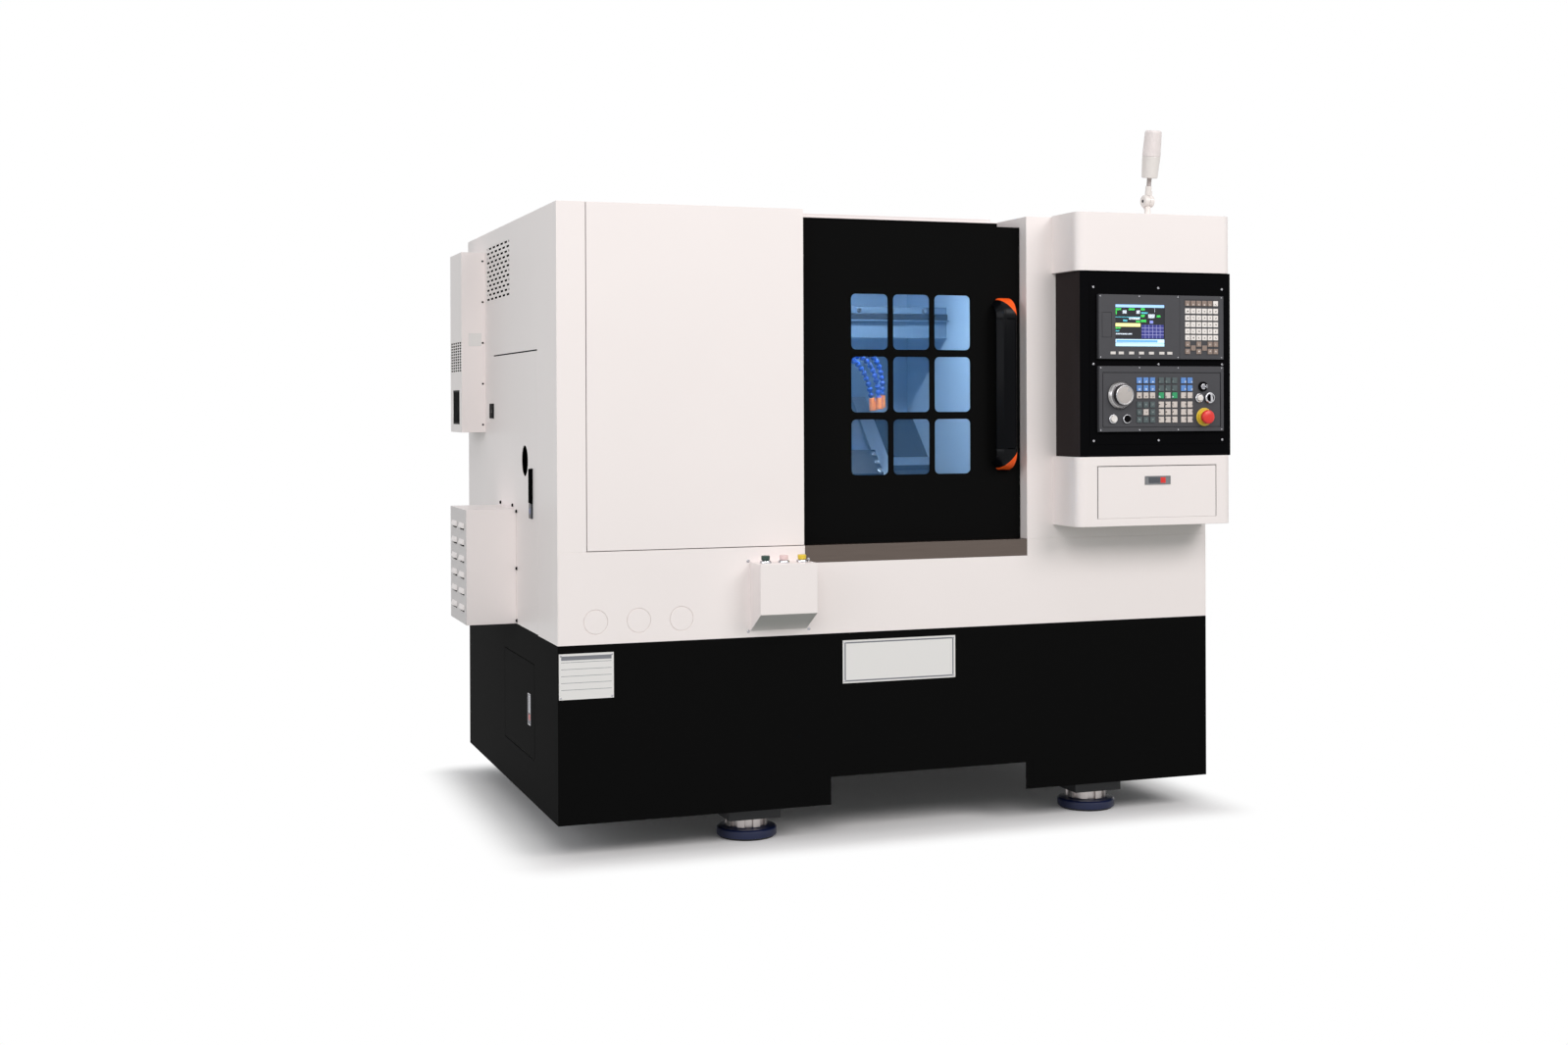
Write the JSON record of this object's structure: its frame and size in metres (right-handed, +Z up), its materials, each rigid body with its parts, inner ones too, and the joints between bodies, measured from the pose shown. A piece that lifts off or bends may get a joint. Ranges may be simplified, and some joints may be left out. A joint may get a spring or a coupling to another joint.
{
  "type": "cnc turning lathe",
  "caption": "Slant-bed turning lathe in a white and black sheet enclosure, with a sliding windowed door, control panel, gang slide, chuck and signal lamp.",
  "frame": {"origin": "on the floor under the middle of the bounding box", "axes": "+X from the headstock end to the right end, +Y from the operator's side to the back, +Z up"},
  "size_m": [2.1, 1.48, 1.9829],
  "materials": {
    "white_paint": "satin",
    "black_paint": "satin",
    "cast_iron": "matte",
    "steel": "ground",
    "stainless": "brushed",
    "navy_paint": "satin",
    "liner_paint": "satin",
    "belt_rubber": "matte",
    "pane": "clear",
    "orange_plastic": "gloss",
    "black_plastic": "textured",
    "grey_plastic": "textured",
    "green_plastic": "gloss",
    "red_plastic": "gloss",
    "yellow_plastic": "gloss",
    "white_plastic": "gloss",
    "blue_plastic": "gloss",
    "chrome": "polished"
  },
  "bodies": {
    "machine": {"base_skirt": "black_paint", "base_casting": "cast_iron", "levelling_pads": "navy_paint", "levelling_nuts": "steel", "headstock": "cast_iron", "spindle_motor": "black_paint", "drive_belt": "belt_rubber", "bed_rails": "steel", "chamber_liner": "liner_paint", "work_light": "white_plastic", "left_panel": "white_paint", "cooler": "white_paint", "cooler_grille": "black_paint", "fascia": "white_paint", "door_sill": "stainless", "door_header": "stainless", "headstock_cover": "white_paint", "right_panel": "white_paint", "rear_panel": "white_paint", "roof": "white_paint", "button_box": "white_paint", "lower_housing": "white_paint", "control_box": "black_paint", "upper_housing": "white_paint", "cnc_unit": "grey_plastic", "operator_panel": "grey_plastic", "lamp_foot": "white_plastic", "coolant_tank": "stainless", "electrical_plate": "grey_plastic"},
    "base_door": {"base_access_door": "black_paint", "base_door_latch": "chrome"},
    "headstock_door": {"side_door": "white_paint", "vent_box": "white_paint"},
    "headstock_door_lever": {"side_door_lever": "chrome"},
    "rear_door": {"cabinet_door": "white_paint"},
    "front_door": {"sliding_door": "black_paint", "door_window": "pane", "door_handle": "black_plastic", "handle_caps": "orange_plastic"},
    "work_spindle": {"spindle": "steel", "chuck": "steel"},
    "motor_shaft": {"motor_pulley": "steel"},
    "feed_screw": {"bed_screw": "steel"},
    "bed_saddle": {"saddle": "cast_iron"},
    "gang_slide": {"cross_slide": "cast_iron", "tool_block": "steel", "coolant_hoses": "blue_plastic"},
    "flap": {"tray_flap": "white_paint", "flap_latch": "chrome"},
    "feed_wheel": {"handwheel": "steel"},
    "start": {"start_button": "white_plastic"},
    "hold": {"hold_button": "black_plastic"},
    "stop": {"emergency_stop": "red_plastic"},
    "key": {"key_switch": "chrome"},
    "mode_selector": {"selector": "chrome"},
    "box_start": {"box_start_button": "green_plastic"},
    "box_stop": {"box_stop_button": "red_plastic"},
    "box_lock": {"box_lock_button": "yellow_plastic"},
    "lamp": {"lamp_post": "white_plastic", "lamp_dome": "white_plastic"}
  },
  "joints": [
    {"name": "front_door_slide", "type": "slide", "parent": "machine", "child": "front_door", "axis": [1, 0, 0], "range_m": [-0.56, 0]},
    {"name": "headstock_door_hinge", "type": "hinge", "parent": "machine", "child": "headstock_door", "pos_m": [-0.9, 0.304, 0.958], "axis": [0, 0, -1], "range_deg": [0, 105]},
    {"name": "lever_lift", "type": "hinge", "parent": "headstock_door", "child": "headstock_door_lever", "pos_m": [-0.9, -0.241, 0.883], "axis": [0, -1, 0], "range_deg": [0, 25]},
    {"name": "base_door_hinge", "type": "hinge", "parent": "machine", "child": "base_door", "pos_m": [-0.9, 0.148, 0.35], "axis": [0, 0, -1], "range_deg": [0, 110]},
    {"name": "rear_door_hinge", "type": "hinge", "parent": "machine", "child": "rear_door", "pos_m": [0.52, 0.74, 1.108], "axis": [0, 0, -1], "range_deg": [0, 110]},
    {"name": "flap_hinge", "type": "hinge", "parent": "machine", "child": "flap", "pos_m": [0.8, -0.708, 0.872], "axis": [1, 0, 0], "range_deg": [0, 90]},
    {"name": "spindle_turn", "type": "hinge", "parent": "machine", "child": "work_spindle", "pos_m": [-0.5, -0.15, 1.041], "axis": [1, 0, 0], "continuous": true},
    {"name": "motor_turn", "type": "hinge", "parent": "machine", "child": "motor_shaft", "pos_m": [-0.75, 0.105, 0.73], "axis": [1, 0, 0], "continuous": true},
    {"name": "saddle_slide", "type": "slide", "parent": "machine", "child": "bed_saddle", "axis": [1, 0, 0], "range_m": [-0.04, 0.19]},
    {"name": "screw_turn", "type": "hinge", "parent": "machine", "child": "feed_screw", "pos_m": [0, 0.0041, 0.901], "axis": [1, 0, 0], "range_deg": [-1600, 7000]},
    {"name": "gang_slide_travel", "type": "slide", "parent": "bed_saddle", "child": "gang_slide", "axis": [0, 0.7071, 0.7071], "range_m": [-0.1, 0.1]},
    {"name": "wheel_turn", "type": "hinge", "parent": "machine", "child": "feed_wheel", "pos_m": [0.6785, -0.712, 1.2195], "axis": [0, 1, 0], "continuous": true},
    {"name": "start_press", "type": "slide", "parent": "machine", "child": "start", "axis": [0, 1, 0], "range_m": [0, 0.0025], "stiffness_N_per_m": 300},
    {"name": "hold_press", "type": "slide", "parent": "machine", "child": "hold", "axis": [0, 1, 0], "range_m": [0, 0.0025], "stiffness_N_per_m": 300},
    {"name": "stop_press", "type": "slide", "parent": "machine", "child": "stop", "axis": [0, 1, 0], "range_m": [0, 0.0025]},
    {"name": "key_turn", "type": "hinge", "parent": "machine", "child": "key", "pos_m": [0.946, -0.712, 1.2435], "axis": [0, 1, 0], "range_deg": [0, 90]},
    {"name": "selector_turn", "type": "hinge", "parent": "machine", "child": "mode_selector", "pos_m": [0.967, -0.712, 1.2115], "axis": [0, 1, 0], "range_deg": [-45, 45]},
    {"name": "box_start_press", "type": "slide", "parent": "machine", "child": "box_start", "axis": [0, 0, -1], "range_m": [0, 0.004], "stiffness_N_per_m": 300},
    {"name": "box_stop_press", "type": "slide", "parent": "machine", "child": "box_stop", "axis": [0, 0, -1], "range_m": [0, 0.004], "stiffness_N_per_m": 300},
    {"name": "box_lock_press", "type": "slide", "parent": "machine", "child": "box_lock", "axis": [0, 0, -1], "range_m": [0, 0.004], "stiffness_N_per_m": 300},
    {"name": "lamp_fold", "type": "hinge", "parent": "machine", "child": "lamp", "pos_m": [0.825, -0.615, 1.779], "axis": [1, 0, 0], "range_deg": [-10, 75]}
  ],
  "couplings": [
    {"joint": "motor_turn", "follows": "spindle_turn", "ratio": 1.4545},
    {"joint": "screw_turn", "follows": "saddle_slide", "rad_per_m": 628.32}
  ]
}
